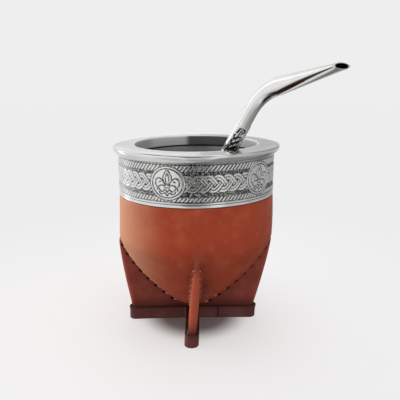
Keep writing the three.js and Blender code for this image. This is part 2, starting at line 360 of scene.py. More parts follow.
def edit(piece):
    """Opens a piece in edit mode, with nothing else selected."""
    if bpy.context.object and bpy.context.object.mode != "OBJECT":
        leave_edit()
    pick(piece)
    bpy.ops.object.mode_set(mode="EDIT")


def leave_facing_outward():
    """Turns every face of the piece in edit mode outward, and leaves edit mode."""
    select_mesh()
    bpy.ops.mesh.normals_make_consistent(inside=False)
    leave_edit()


def points_of(piece):
    """A piece's corners as an array of rows x, y, z."""
    points = np.empty(len(piece.data.vertices) * 3)
    piece.data.vertices.foreach_get("co", points)
    return points.reshape(-1, 3)


def place_points(piece, points):
    piece.data.vertices.foreach_set("co", np.ascontiguousarray(points, dtype=np.float64).ravel())
    piece.data.update()


def paint(piece, name, values):
    """Stores one number for each corner, which the materials read as an attribute."""
    layer = piece.data.attributes.new(name, "FLOAT", "POINT")
    layer.data.foreach_set("value", np.ascontiguousarray(values, dtype=np.float32))


def apply_modifier(piece, kind, **settings):
    """Adds a modifier, sets it and applies it at once."""
    pick(piece)
    modifier = piece.modifiers.new(kind.title(), kind)
    for name, value in settings.items():
        setattr(modifier, name, value)
    bpy.ops.object.modifier_apply(modifier=modifier.name)


def draw_chain(name, corners, closed):
    """Draws an outline from the single corner of a merged plane, by extruding it from place to place."""
    deselect_all()
    bpy.ops.mesh.primitive_plane_add(size=1.0, location=(0.0, 0.0, 0.0))
    piece = bpy.context.object
    piece.name = name
    edit(piece)
    bpy.ops.mesh.merge(type="CENTER")
    bpy.ops.transform.translate(value=corners[0])
    for before, after in zip(corners, corners[1:]):
        extrude(Vector(after) - Vector(before))
    if closed:
        bpy.ops.mesh.select_all(action="DESELECT")
        leave_edit()
        for end in (0, len(corners) - 1):
            piece.data.vertices[end].select = True
        edit(piece)
        bpy.ops.mesh.edge_face_add()
    select_mesh()
    return piece


def turned(name, profile, steps, closed, angle=2 * math.pi, start=0.0):
    """Spins a profile of radius and height round the upright axis."""
    corners = [(r * math.cos(start), r * math.sin(start), z) for r, z in profile]
    piece = draw_chain(name, corners, closed)
    bpy.ops.mesh.spin(steps=steps, angle=angle, center=(0.0, 0.0, 0.0), axis=(0.0, 0.0, -1.0))
    select_mesh()
    bpy.ops.mesh.remove_doubles(threshold=1e-4)
    leave_facing_outward()
    return piece


def shift_to_axis(piece):
    """Moves a round piece from the origin to the axis that it shares with the mouth."""
    edit(piece)
    select_mesh()
    bpy.ops.transform.translate(value=(AXIS, 0.0, 0.0))
    leave_edit()


def faces_outward(piece):
    edit(piece)
    leave_facing_outward()


def close_ends(piece):
    """Fills a mesh's open ends."""
    edit(piece)
    bpy.ops.mesh.select_all(action="DESELECT")
    bpy.ops.mesh.select_mode(type="EDGE")
    bpy.ops.mesh.select_non_manifold(extend=False)
    bpy.ops.mesh.edge_face_add()
    bpy.ops.mesh.select_mode(type="VERT")
    leave_facing_outward()


def join(name, pieces):
    deselect_all()
    for piece in pieces:
        piece.select_set(True)
    bpy.context.view_layer.objects.active = pieces[0]
    bpy.ops.object.join()
    pieces[0].name = name
    return pieces[0]


def copied(piece, name):
    """A copy with a mesh of its own."""
    copy = piece.copy()
    copy.data = piece.data.copy()
    copy.name = name
    bpy.context.collection.objects.link(copy)
    return copy


def finish_piece(piece, material, nodes=(), smooth=40.0):
    """Brings a piece to metres, smooths it, gives it its material and fixes it to the cup."""
    pick(piece)
    piece.scale = (MM, MM, MM)
    bpy.ops.object.transform_apply(location=True, rotation=True, scale=True)
    bpy.ops.object.shade_smooth_by_angle(angle=math.radians(smooth))
    piece.data.materials.clear()
    piece.data.materials.append(material)
    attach(piece, "root")
    if nodes:
        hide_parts(*nodes)


# Shapes that are shared

def straight_share(low, high, value):
    """0 below low, 1 above high, and a straight climb between them."""
    return np.clip((value - low) / (high - low), 0.0, 1.0)


def blend_share(low, high, value):
    """0 below low, 1 above high, and a smooth climb between them."""
    share = straight_share(low, high, value)
    return share * share * (3.0 - 2.0 * share)


def mix_values(first, second, share):
    return first + (second - first) * share


def quadratic(first, control, last, steps):
    """Places along a rounded corner, without its first one."""
    places = []
    for step in range(1, steps + 1):
        t = step / steps
        a, b, c = (1 - t) * (1 - t), 2 * t * (1 - t), t * t
        places.append(tuple(a * p + b * q + c * r for p, q, r in zip(first, control, last)))
    return places


def lean_at(height):
    return LEAN_REACH * straight_share(0.0, LEAN_HEIGHT, height)


def leaned(piece):
    """Leans a round leather form over its feet."""
    points = points_of(piece)
    points[:, 0] += lean_at(points[:, 2])
    place_points(piece, points)


def set_askew(piece):
    """The hand-made ring dips a little at the front and rises a little on the right, with what it holds."""
    points = points_of(piece)
    dip = straight_share(RING_DIP_FROM, BAND_TOP, points[:, 2])
    roll = blend_share(RING_ROLL_FROM, BAND_FOOT - 1.0, points[:, 2])
    points[:, 2] += RING_DIP * dip * points[:, 1] + RING_ROLL * roll * (points[:, 0] - AXIS)
    place_points(piece, points)


def bowl_radius_at(height):
    """The bowl's outside radius: pointed below, full at the shoulder, narrower on top."""
    climb = (height - BOWL_SHOULDER) / (BAND_FOOT - BOWL_SHOULDER)
    above = BOWL_RADIUS - BOWL_TOP_NARROWING * climb * climb
    drop = straight_share(BOWL_SHOULDER, BOWL_TIP, height)
    below = BOWL_RADIUS * np.power(1.0 - np.power(drop, BOWL_FULLNESS), 1.0 / BOWL_POINTEDNESS)
    return np.where(height >= BOWL_SHOULDER, above, below)


def distance_to_path(x, y, path):
    """How far each place is from a path of straight stretches."""
    nearest = np.full(x.shape, 1e9)
    for (x0, y0), (x1, y1) in zip(path, path[1:]):
        dx, dy = x1 - x0, y1 - y0
        along = np.clip(((x - x0) * dx + (y - y0) * dy) / (dx * dx + dy * dy), 0.0, 1.0)
        nearest = np.minimum(nearest, np.hypot(x - x0 - along * dx, y - y0 - along * dy))
    return nearest


def curve_value(a, b, c, d, t):
    """One coordinate of a smooth curve from b to c, when a comes before them and d after them."""
    bend = 2 * a - 5 * b + 4 * c - d
    twist = 3 * b - a - 3 * c + d
    return 0.5 * (2 * b + (c - a) * t + bend * t * t + twist * t ** 3)


def flowing(path, steps=6):
    """A smooth path through a few given places."""
    ends = [path[0]] + list(path) + [path[-1]]
    places = []
    for corners in zip(ends, ends[1:], ends[2:], ends[3:]):
        for step in range(steps):
            places.append(tuple(curve_value(*values, step / steps) for values in zip(*corners)))
    places.append(path[-1])
    return places


# Materials

class Nodes:
    """A tree of shader nodes. A source is a number, a colour or the output of another node."""

    def add(self, kind, **settings):
        node = self.tree.nodes.new(kind)
        for name, value in settings.items():
            setattr(node, name, value)
        return node

    def link(self, source, target):
        if isinstance(source, (int, float, tuple)):
            target.default_value = source
        else:
            self.tree.links.new(source, target)

    def share(self, source, low, high, first=0.0, last=1.0):
        """A smooth climb from first to last, while the source goes from low to high."""
        node = self.add("ShaderNodeMapRange", interpolation_type="SMOOTHSTEP")
        self.link(source, node.inputs["Value"])
        for name, value in (("From Min", low), ("From Max", high), ("To Min", first), ("To Max", last)):
            node.inputs[name].default_value = value
        return node.outputs["Result"]

    def maths(self, operation, first, second=0.0):
        node = self.add("ShaderNodeMath", operation=operation)
        self.link(first, node.inputs[0])
        self.link(second, node.inputs[1])
        return node.outputs[0]

    def times(self, first, second):
        return self.maths("MULTIPLY", first, second)

    def plus(self, first, second):
        return self.maths("ADD", first, second)


class Finish(Nodes):
    """A procedural material: a principled shader and the nodes that feed it."""

    def __init__(self, name):
        self.material = bpy.data.materials.new(name)
        self.material.use_nodes = True
        self.tree = self.material.node_tree
        self.shader = self.tree.nodes["Principled BSDF"]
        self.place = self.add("ShaderNodeTexCoord").outputs["Object"]

    def set(self, **values):
        """Sets or links the shader's own sockets by their names."""
        for name, value in values.items():
            self.link(value, self.shader.inputs[name.replace("_", " ")])

    def pattern(self, kind, place, **values):
        """A pattern node at a place, with its input sockets set by their names."""
        node = self.add(kind)
        self.link(place or self.place, node.inputs["Vector"])
        for name, value in values.items():
            node.inputs[name].default_value = value
        return node

    def stretched(self, scale):
        return self.pattern("ShaderNodeMapping", None, Scale=scale).outputs["Vector"]

    def noise(self, scale, detail, place=None, roughness=0.5):
        node = self.pattern("ShaderNodeTexNoise", place, Scale=scale, Detail=detail, Roughness=roughness)
        return node.outputs["Fac"]

    def spread(self, noise, first=0.0, last=1.0):
        """A noise's usual range, stretched to go from first to last."""
        return self.share(noise, 0.3, 0.7, first, last)

    def cells(self, scale):
        return self.pattern("ShaderNodeTexVoronoi", None, Scale=scale).outputs["Distance"]

    def colour(self, share, first, second):
        node = self.add("ShaderNodeMix", data_type="RGBA")
        self.link(share, node.inputs[0])
        self.link(first, node.inputs[6])
        self.link(second, node.inputs[7])
        return node.outputs[2]

    def painted(self, name):
        return self.add("ShaderNodeAttribute", attribute_name=name).outputs["Fac"]

    def place_along(self, axis):
        """How far along one of the three axes a point is, in metres."""
        node = self.add("ShaderNodeSeparateXYZ")
        self.link(self.place, node.inputs[0])
        return node.outputs[axis]

    def from_axis(self, middle):
        """How far a point is from an upright axis at x = middle, in metres."""
        across = self.maths("SUBTRACT", self.place_along("X"), middle)
        squares = [self.maths("POWER", way, 2.0) for way in (across, self.place_along("Y"))]
        return self.maths("SQRT", self.plus(*squares))

    def hairlines(self):
        """Fine brushing that runs in rings round the mouth's axis."""
        rings = self.add("ShaderNodeCombineXYZ")
        self.link(self.from_axis(AXIS * MM), rings.inputs["X"])
        self.link(self.place_along("Z"), rings.inputs["Z"])
        return self.noise(HAIRLINE_SCALE, 3.0, rings.outputs[0])

    def bump(self, source, distance, strength, under=None):
        node = self.add("ShaderNodeBump")
        node.inputs["Strength"].default_value = strength
        node.inputs["Distance"].default_value = distance
        self.link(source, node.inputs["Height"])
        if under is not None:
            self.link(under, node.inputs["Normal"])
        return node.outputs["Normal"]


def make_ring_metal():
    """Nickel silver: bright where it is handled, black where oxide sits, brushed inside the mouth, with
    painted dark reflections there.
    """
    finish = Finish("ring_nickel_silver")
    brushed = finish.painted("brushed")
    worn = finish.share(finish.noise(1500.0, 2.0), 0.36, 0.50, 0.35, 1.0)
    # The oxide layer also holds painted dark reflections inside the mouth, and painted highlight and
    # painted dark reflection on the band.
    oxide = finish.times(finish.painted("oxide"), finish.maths("MAXIMUM", worn, brushed))
    handling = finish.noise(60.0, 4.0)
    hairlines = finish.hairlines()
    bright = finish.colour(finish.spread(handling), rgb(0.76, 0.76, 0.75), rgb(0.68, 0.68, 0.68))
    brushing = finish.colour(hairlines, rgb(0.95, 0.95, 0.94), rgb(0.80, 0.80, 0.80))
    bright = finish.colour(brushed, bright, brushing)
    finish.set(Base_Color=finish.colour(oxide, bright, RING_OXIDE))
    polish = finish.spread(handling, 0.10, 0.16)
    dull = finish.plus(finish.times(oxide, 0.35), finish.times(brushed, 0.42))
    finish.set(Roughness=finish.plus(polish, dull))
    finish.set(Metallic=finish.share(brushed, 0.0, 1.0, 1.0, 0.5))
    finish.set(Normal=finish.bump(hairlines, 0.00001, 0.3))
    return finish.material


def make_liner_steel():
    finish = Finish("liner_brushed_steel")
    brushing = finish.hairlines()
    clouds = finish.noise(45.0, 3.0)
    steel = finish.colour(clouds, rgb(0.40, 0.40, 0.41), rgb(0.54, 0.54, 0.54))
    # Painted shadow at the liner's top, in the gap under the collar
    finish.set(Base_Color=finish.colour(finish.painted("joint"), steel, GAP_SHADOW_BLACK))
    finish.set(Roughness=finish.spread(brushing, 0.34, 0.5), Metallic=1.0)
    finish.set(Normal=finish.bump(brushing, 0.00002, 0.35))
    return finish.material


def make_straw_metal():
    finish = Finish("straw_polished_metal")
    oxide = finish.painted("oxide")
    handling = finish.noise(110.0, 3.0)
    bright = finish.colour(finish.spread(handling), rgb(0.84, 0.84, 0.82), rgb(0.77, 0.77, 0.76))
    # Painted dark reflection along the straw's underside
    bright = finish.colour(finish.painted("streak"), bright, REFLECTION_BROWN)
    finish.set(Base_Color=finish.colour(oxide, bright, STRAW_OXIDE))
    polish = finish.spread(handling, 0.08, 0.15)
    finish.set(Roughness=finish.plus(polish, finish.times(oxide, 0.4)))
    finish.set(Metallic=1.0, Normal=finish.bump(finish.noise(700.0, 2.0), 0.00001, 0.15))
    return finish.material


def leather_tone(finish, dark, middle, pale):
    """A slowly drifting dye with faint clouds, upright streaks and darker pores."""
    drift = finish.noise(16.0, 3.0)
    clouds = finish.noise(120.0, 5.0, roughness=0.6)
    streaks = finish.noise(95.0, 4.0, finish.stretched((1.0, 1.0, 0.3)))
    pores = finish.cells(PORE_SCALE)
    tone = finish.colour(finish.share(drift, 0.35, 0.65), dark, middle)
    tone = finish.colour(finish.share(clouds, 0.42, 0.75, 0.0, 0.5), tone, pale)
    tone = finish.colour(finish.share(streaks, 0.5, 0.8, 0.0, 0.5), tone, dark)
    return finish.colour(finish.share(pores, 0.0, 0.25, 0.3, 0.0), tone, dark)


def bowl_tone(finish):
    """The bowl's red tan, turning to a paler tan towards its left side."""
    tone = leather_tone(finish, *BOWL_TONES)
    uneven = finish.times(finish.noise(22.0, 4.0), 0.02)
    paler_left = finish.share(finish.plus(finish.place_along("X"), uneven), 0.0, -0.036, 0.0, 0.85)
    return finish.colour(paler_left, tone, LEFT_SIDE_TAN)


def finish_leather(finish, tone, roughness):
    """Painted shade (in stitch holes and where the leather lies in shade), fine creased grain, and a soft
    waxed polish that is duller low down.
    """
    creases = finish.noise(420.0, 6.0, roughness=0.65)
    polish = finish.noise(150.0, 4.0)
    # Painted shade darkens the leather towards black
    finish.set(Base_Color=finish.colour(finish.painted("pit"), tone, SHADE_BLACK))
    waxed = finish.spread(polish, roughness - 0.05, roughness + 0.08)
    duller = finish.share(finish.place_along("Z"), 0.058, 0.028, 0.0, 0.2)
    finish.set(Roughness=finish.plus(waxed, duller), Specular_IOR_Level=0.11)
    grain = finish.bump(creases, 0.00006, 0.3)
    finish.set(Normal=finish.bump(finish.cells(PORE_SCALE), 0.00005, 0.35, grain))
    return finish.material


def make_bowl_leather():
    finish = Finish("bowl_red_tan_leather")
    return finish_leather(finish, bowl_tone(finish), 0.46)


def make_fin_leather():
    """Darker leather, with the bowl's own leather drawn over the seam and a burnished outer edge."""
    finish = Finish("fin_red_brown_leather")
    tone = leather_tone(finish, *FIN_TONES)
    tone = finish.colour(finish.painted("edge"), tone, BURNISHED_RED)
    tone = finish.colour(finish.painted("cover"), tone, bowl_tone(finish))
    return finish_leather(finish, tone, 0.48)


def make_belt_leather():
    finish = Finish("belt_dark_leather")
    tone = leather_tone(finish, *BELT_TONES)
    tone = finish.colour(finish.painted("edge"), tone, BELT_EDGE_BROWN)
    return finish_leather(finish, tone, 0.42)


def make_thread_fibre():
    finish = Finish("waxed_thread")
    twist = finish.noise(1800.0, 3.0, finish.stretched((1.0, 1.0, 0.4)))
    finish.set(Base_Color=finish.colour(twist, rgb(0.32, 0.19, 0.14), rgb(0.74, 0.54, 0.43)))
    finish.set(Roughness=0.7, Normal=finish.bump(twist, 0.0001, 0.6))
    return finish.material


def make_floor_finish():
    """A pale table with a painted glow, which glows everywhere but under the foot, where its absence paints
    the shadow.
    """
    finish = Finish("pale_studio_floor")
    clouds = finish.noise(3.0, 2.0)
    finish.set(Base_Color=finish.colour(clouds, rgb(0.545, 0.54, 0.54), rgb(0.555, 0.55, 0.55)))
    finish.set(Roughness=0.9, Specular_IOR_Level=0.0, Emission_Color=rgb(1.0, 1.0, 1.0))
    # Painted light and shadow: no glow within 16 mm of the axis, full glow from 33 mm, and a little less
    # far away
    away = finish.from_axis(0.001)
    beside = finish.share(away, 0.016, 0.033, 0.0, 0.53)
    far = finish.share(away, 0.05, 0.28, 1.0, 0.885)
    finish.set(Emission_Strength=finish.times(beside, far))
    return finish.material


# Ring

def ring_profile():
    """Collar in the mouth, flat flange, rim that curls under, and the band behind the ornament."""
    collar_outside = MOUTH_RADIUS + RING_WALL
    band_inside = BAND_RADIUS - RING_WALL
    behind = BAND_RADIUS - ORNAMENT_BACK
    underside = MOUTH_HEIGHT - RING_WALL
    collar_foot = MOUTH_HEIGHT - COLLAR_DEPTH
    bead = 0.35
    profile = [
        (MOUTH_RADIUS, collar_foot),
        (collar_outside, collar_foot),
        (collar_outside, underside),
        (band_inside, underside),
        (band_inside, BAND_FOOT),
        (BAND_RADIUS - bead, BAND_FOOT),
    ]
    profile += quadratic(profile[-1], (BAND_RADIUS, BAND_FOOT), (BAND_RADIUS, BAND_FOOT + bead), 4)
    profile += [(BAND_RADIUS, STRIP_TOP - 0.25)]
    profile += quadratic(profile[-1], (BAND_RADIUS, STRIP_TOP), (BAND_RADIUS - 0.25, STRIP_TOP), 3)
    profile += [(behind, STRIP_TOP), (behind, BAND_TOP), (BAND_RADIUS, BAND_TOP)]
    under_rim = (RIM_RADIUS, BAND_TOP + RIM_UNDER_FLARE)
    profile += quadratic(profile[-1], under_rim, (RIM_RADIUS, RIM_HEIGHT), 14)
    shoulder = (RIM_RADIUS - RIM_SHOULDER, MOUTH_HEIGHT - RIM_CROWN)
    profile += quadratic(profile[-1], (RIM_RADIUS, MOUTH_HEIGHT - 1.6 * RIM_CROWN), shoulder, 12)
    crown_middle = (mix_values(shoulder[0], RIM_CROWN_START, 0.45), MOUTH_HEIGHT)
    profile += quadratic(profile[-1], crown_middle, (RIM_CROWN_START, MOUTH_HEIGHT), 8)
    profile += [(MOUTH_RADIUS + MOUTH_EDGE_ROUND, MOUTH_HEIGHT)]
    inner_edge = (MOUTH_RADIUS, MOUTH_HEIGHT - MOUTH_EDGE_ROUND)
    profile += quadratic(profile[-1], (MOUTH_RADIUS, MOUTH_HEIGHT), inner_edge, 6)
    return profile


def mouth_painted_reflections(points):
    """Painted dark reflections on the brushed wall inside the mouth, in wide patches, by the angle from the
    right.
    """
    angle = np.degrees(np.arctan2(points[:, 1], points[:, 0] - AXIS))
    behind = blend_share(44.0, 50.0, angle) * blend_share(103.0, 97.0, angle)
    left = np.maximum(blend_share(136.0, 150.0, angle), blend_share(-120.0, -170.0, angle))
    front = blend_share(-8.0, -30.0, angle)
    return np.maximum(0.82 * behind, np.maximum(0.3 * left, 0.3 * front))


def make_ring(metal):
    piece = turned("ring_body", ring_profile(), RING_STEPS, closed=True)
    shift_to_axis(piece)
    points = points_of(piece)
    radius = np.hypot(points[:, 0] - AXIS, points[:, 1])
    inside_mouth = blend_share(MOUTH_RADIUS + 0.5, MOUTH_RADIUS + 0.1, radius)
    paint(piece, "brushed", inside_mouth)
    # The oxide layer inside the mouth holds painted dark reflections, not oxide.
    paint(piece, "oxide", inside_mouth * mouth_painted_reflections(points))
    set_askew(piece)
    finish_piece(piece, metal, ["ring"])


def braid_relief(along, height, level, oxide):
    """A plait of three ribbons, each with a line down its middle, passing over and under."""
    pitch = MEDALLION_PITCH * BAND_RADIUS / BRAID_LOOPS
    period = 3 * pitch
    strands = []
    for strand in range(3):
        phase = 2 * math.pi * (along / period + strand / 3)
        slope = -2 * math.pi / period * BRAID_SWING * np.sin(phase)
        offset = height - BRAID_HEIGHT - BRAID_SWING * np.cos(phase)
        distance = np.abs(offset) / np.sqrt(1 + slope * slope)
        strands.append((distance, -np.sign(height - BRAID_HEIGHT) * slope))
    distances = np.stack([strand[0] for strand in strands])
    order = np.argsort(np.stack([strand[1] for strand in strands]), axis=0)
    for rank in range(3):
        distance = np.take_along_axis(distances, order[rank:rank + 1], axis=0)[0]
        clears = distance < BRAID_HALF_WIDTH + 0.28
        body = blend_share(BRAID_HALF_WIDTH + 0.1, BRAID_HALF_WIDTH - 0.25, distance)
        middle = blend_share(0.26, 0.1, distance)
        level = np.where(clears, BRAID_GROUND + BRAID_RISE * body - BRAID_LINE_CUT * middle, level)
        oxide = np.where(clears, 1.0 - body + 0.75 * middle, oxide)
    return level, oxide


def rope_relief(along, height, border, level, oxide):
    """A border of leaning strokes, between a foot and a top height."""
    foot, top = border
    pitch = MEDALLION_PITCH * BAND_RADIUS / ROPE_STROKES
    lean = 0.8
    turn = (along - lean * (height - foot)) / pitch
    from_middle = np.abs(turn - np.floor(turn) - 0.5) * pitch * math.cos(math.atan(lean))
    stroke = blend_share(0.62, 0.34, from_middle)
    ends = blend_share(0.0, 0.3, height - foot) * blend_share(0.0, 0.3, top - height)
    stroke = stroke * ends
    inside = (height > foot) & (height < top)
    level = np.where(inside, ROPE_GROUND + ROPE_RISE * stroke, level)
    oxide = np.where(inside, 0.92 * (1.0 - stroke), oxide)
    return level, oxide


def medallion_relief(along, height, level, oxide):
    """A round medal: raised rim, groove, and an engraved lily on a flat ground."""
    x, y = along, (height - MEDALLION_HEIGHT) / MEDALLION_SQUASH
    radius = np.hypot(x, y)
    inside = radius < MEDALLION_RADIUS + 0.3
    rim = blend_share(MEDALLION_RADIUS + 0.15, MEDALLION_RADIUS - 0.15, radius)
    groove = blend_share(0.36, 0.14, np.abs(radius - MEDALLION_GROOVE))
    lines = np.full(x.shape, 1e9)
    for path in LILY_LINES:
        lines = np.minimum(lines, distance_to_path(-np.abs(x), y, flowing(path)))
    lines = np.where(radius < LILY_REACH, lines, 1e9)
    cut = np.maximum(groove, blend_share(0.36, 0.16, lines))
    level = np.where(inside, MEDALLION_GROUND * (1.0 - rim) - MEDALLION_CUT * cut, level)
    oxide = np.where(inside, np.maximum(1.0 - rim, 0.95 * cut), oxide)
    return level, oxide


def band_relief(along, height, with_medallion):
    """How deep the band is stamped at each place, and how dark its oxide is."""
    punch = 0.62
    row = np.floor(height / punch)
    dot_x = (along / punch + 0.5 * (row % 2)) % 1.0 - 0.5
    dot_y = (height / punch) % 1.0 - 0.5
    dots = blend_share(0.42, 0.12, np.hypot(dot_x, dot_y))
    level = PUNCHED_GROUND + PUNCHED_DOT_RISE * dots
    oxide = 1.0 - 0.35 * dots
    level, oxide = braid_relief(along, height, level, oxide)
    level, oxide = rope_relief(along, height, UPPER_ROPE, level, oxide)
    level, oxide = rope_relief(along, height, LOWER_ROPE, level, oxide)
    line = (height < LOWER_ROPE[0]) | (height > UPPER_ROPE[1])
    dark_line = blend_share(0.3, 0.12, np.abs(height - FOOT_LINE_HEIGHT))
    level = np.where(line, -0.03 - EDGE_CUT * dark_line, level)
    oxide = np.where(line, 0.9 * dark_line, oxide)
    if with_medallion:
        level, oxide = medallion_relief(along, height, level, oxide)
    foot_groove = blend_share(0.28, 0.05, height - STRIP_TOP)
    top_groove = blend_share(0.25, 0.05, BAND_TOP - height)
    groove = np.maximum(foot_groove, top_groove)
    return level - EDGE_CUT * groove, np.maximum(oxide, 0.9 * groove)


def painted_reflection_shares(angle, height):
    """A painted highlight clears the oxide in wide patches round the band, and a painted dark reflection
    thickens it in narrower ones.
    """
    wave = np.cos(3.0 * (angle - DARK_REFLECTION_FACES))
    highlight = np.power(np.maximum(np.cos(2.0 * (angle - HIGHLIGHT_FACES)), 0.0), 3.0)
    kept = 1.0 - HIGHLIGHT_CLEARS_OXIDE * highlight
    dark_reflection = mix_values(DARK_REFLECTION_FOOT, DARK_REFLECTION_TOP, blend_share(*DARK_REFLECTION_HEIGHTS, height))
    dark_reflection = dark_reflection * np.power(np.maximum(wave, 0.0), 6.0)
    return kept, dark_reflection


def paint_reflections_on_oxide(piece):
    """Thins the oxide with the painted highlight, or thickens it with the painted dark reflection, on a
    stretch of the band, by its place round the ring.
    """
    points = points_of(piece)
    face = np.hypot(points[:, 0], points[:, 1]) > BAND_RADIUS - ORNAMENT_BACK + 0.05
    kept, dark_reflection = painted_reflection_shares(np.arctan2(points[:, 1], points[:, 0]), points[:, 2])
    layer = piece.data.attributes["oxide"]
    oxide = np.empty(len(points), dtype=np.float32)
    layer.data.foreach_get("value", oxide)
    oxide = np.where(face, np.clip(oxide * kept + dark_reflection, 0.0, 1.0), 0.0)
    layer.data.foreach_set("value", oxide.astype(np.float32))


def ornament_section():
    """The ornament strip's cross section: a finely divided face and a plain back."""
    back = BAND_RADIUS - ORNAMENT_BACK
    rows = np.linspace(STRIP_TOP, BAND_TOP, ORNAMENT_ROWS + 1)
    face = [(BAND_RADIUS, float(height)) for height in rows]
    return [(back, STRIP_TOP)] + face + [(back, BAND_TOP)]


def make_ornament_stretch(name, middle, first, last, columns, with_medallion):
    """One stretch of the stamped strip, between two arc angles off its middle."""
    piece = turned(name, ornament_section(), columns, True, last - first, middle + first)
    close_ends(piece)
    points = points_of(piece)
    radius = np.hypot(points[:, 0], points[:, 1])
    angle = np.arctan2(points[:, 1], points[:, 0]) - middle
    angle = (angle + math.pi) % (2 * math.pi) - math.pi
    level, oxide = band_relief(angle * BAND_RADIUS, points[:, 2], with_medallion)
    face = radius > BAND_RADIUS - 0.1
    moved = np.where(face, (radius + level) / radius, 1.0)
    points[:, 0] *= moved
    points[:, 1] *= moved
    place_points(piece, points)
    paint(piece, "oxide", np.where(face, np.clip(oxide, 0.0, 1.0), 0.0))
    return piece


def make_ornament(metal):
    half = MEDALLION_PITCH / 2
    first = make_ornament_stretch("band_medallion_1", FIRST_MEDALLION, -half, half, ORNAMENT_COLUMNS, True)
    stretches = [first]
    for number in range(1, MEDALLION_COUNT):
        copy = copied(first, f"band_medallion_{number + 1}")
        copy.data.transform(Matrix.Rotation(number * MEDALLION_PITCH, 4, "Z"))
        stretches.append(copy)
    rest = 2 * math.pi - MEDALLION_COUNT * MEDALLION_PITCH
    columns = round(ORNAMENT_COLUMNS * rest / MEDALLION_PITCH)
    last_medallion = FIRST_MEDALLION - MEDALLION_PITCH
    name = "band_closing_stretch"
    closing = make_ornament_stretch(name, last_medallion, half - rest, half, columns, False)
    for piece in stretches + [closing]:
        # Painted highlight and painted dark reflection on this stretch's oxide
        paint_reflections_on_oxide(piece)
        shift_to_axis(piece)
        set_askew(piece)
        finish_piece(piece, metal, smooth=60.0)


# Liner

def liner_curve(offset, top):
    """A round bottom under a slightly tapered wall, from the middle of the bottom up to a height."""
    steps = 28
    radius = LINER_BOWL_RADIUS + offset
    curve = []
    for step in range(steps + 1):
        angle = step / steps * math.pi / 2
        curve.append((radius * math.sin(angle), LINER_BOWL_HEIGHT - radius * math.cos(angle)))
    for share in (0.25, 0.5, 0.75, 0.975, 1.0):
        height = mix_values(LINER_BOWL_HEIGHT, top, share)
        curve.append((mix_values(radius, LINER_TOP_RADIUS + offset, share), height))
    return curve


def make_liner(steel):
    top = MOUTH_HEIGHT - COLLAR_DEPTH - GAP
    rounding = LINER_WALL / 2
    outside = liner_curve(LINER_WALL, top - rounding)
    inside = liner_curve(0.0, top - rounding)[::-1]
    lip_middle = (outside[-1][0] + inside[0][0]) / 2
    profile = outside + [(lip_middle, top)] + inside
    piece = turned("liner_body", profile, 128, closed=False)
    shift_to_axis(piece)
    heights = points_of(piece)[:, 2]
    # Painted shadow along the liner's top edge, in the gap under the collar
    paint(piece, "joint", blend_share(top - 1.2, top - 0.5, heights))
    set_askew(piece)
    finish_piece(piece, steel, ["liner"], 50.0)


# Leather bowl

def make_bowl(leather):
    """The gourd in its leather: the full outside, a rolled top edge under the ring, and a hollow."""
    curve = []
    steps = 44
    for step in range(steps + 1):
        height = BOWL_SHOULDER - (BOWL_SHOULDER - BOWL_TIP) * math.cos(step / steps * math.pi / 2)
        curve.append((float(bowl_radius_at(height)) if step else 0.0, height))
    leather_top = BAND_FOOT - GAP
    roll = 0.5
    for share in (0.25, 0.5, 0.75, 1.0):
        height = mix_values(BOWL_SHOULDER, leather_top - roll, share)
        curve.append((float(bowl_radius_at(height)), height))
    top_radius = curve[-1][0]
    curve += quadratic(curve[-1], (top_radius, leather_top), (top_radius - roll, leather_top), 5)
    inside_ring = BAND_RADIUS - RING_WALL - GAP
    inside_top = MOUTH_HEIGHT - RING_WALL - GAP
    collar_room = MOUTH_RADIUS + RING_WALL + GAP
    curve += [(inside_ring, leather_top), (inside_ring, inside_top), (collar_room, inside_top)]
    collar_foot = MOUTH_HEIGHT - COLLAR_DEPTH - GAP
    curve += [(collar_room, collar_foot)]
    curve += liner_curve(LINER_WALL + GAP, collar_foot)[::-1]
    piece = turned("bowl_leather_cover", curve, 160, closed=False)
    leaned(piece)
    set_askew(piece)
    # Painted shade: black over the hidden hollow, and darker beside the front fin, more so low down
    x, y, height = points_of(piece).T
    off_fin = np.degrees(np.arctan2(y, x - AXIS)) - FIN_SHADOW_FACES
    beside_fin = np.exp(-((off_fin / FIN_SHADOW_WIDTH) ** 2))
    upper = UPPER_SHADOW * blend_share(*UPPER_SHADOW_HEIGHTS, height)
    lower = LOWER_SHADOW * blend_share(*LOWER_SHADOW_HEIGHTS, height)
    hidden = np.hypot(x - lean_at(height), y) < bowl_radius_at(height) - 0.9
    paint(piece, "pit", np.where(hidden & (height > BOWL_TIP + 1.0), 1.0, beside_fin * (upper + lower)))
    finish_piece(piece, leather, ["leather_bowl"], 50.0)


# Fins

def fin_reach_at(height, foot_reach):
    """How far out the outer edge stands: upright in the belt, flaring out, then fading into the bowl."""
    climb = straight_share(BELT_HEIGHT, FIN_TOP_HEIGHT, height)
    flare = mix_values(foot_reach, FIN_TOP_REACH, 1.0 - np.power(1.0 - climb, FIN_FLARE))
    fade = blend_share(FIN_TOP_HEIGHT - 3.0, FIN_FADE_HEIGHT, height)
    return mix_values(flare, BOWL_RADIUS - 0.5, fade)


def fin_half_at(height):
    return mix_values(FIN_HALF, FIN_TOP_HALF, straight_share(FIN_TAPER_HEIGHT, FIN_TOP_HEIGHT, height))


def bowl_edge_path(start):
    """The bowl's outline in the fin's plane, from where the plate starts up to where the fin fades."""
    angles = np.linspace(0.0, 1.0, 400) * math.pi / 2
    heights = BOWL_SHOULDER - (BOWL_SHOULDER - BOWL_TIP) * np.cos(angles)
    heights = heights[heights < FIN_FADE_HEIGHT]
    reaches = bowl_radius_at(heights)
    beyond = reaches > max(start, 0.0)
    return np.column_stack([reaches[beyond], heights[beyond]])


def lengths_along(path):
    return np.concatenate([[0.0], np.cumsum(np.hypot(*np.diff(path, axis=0).T))])


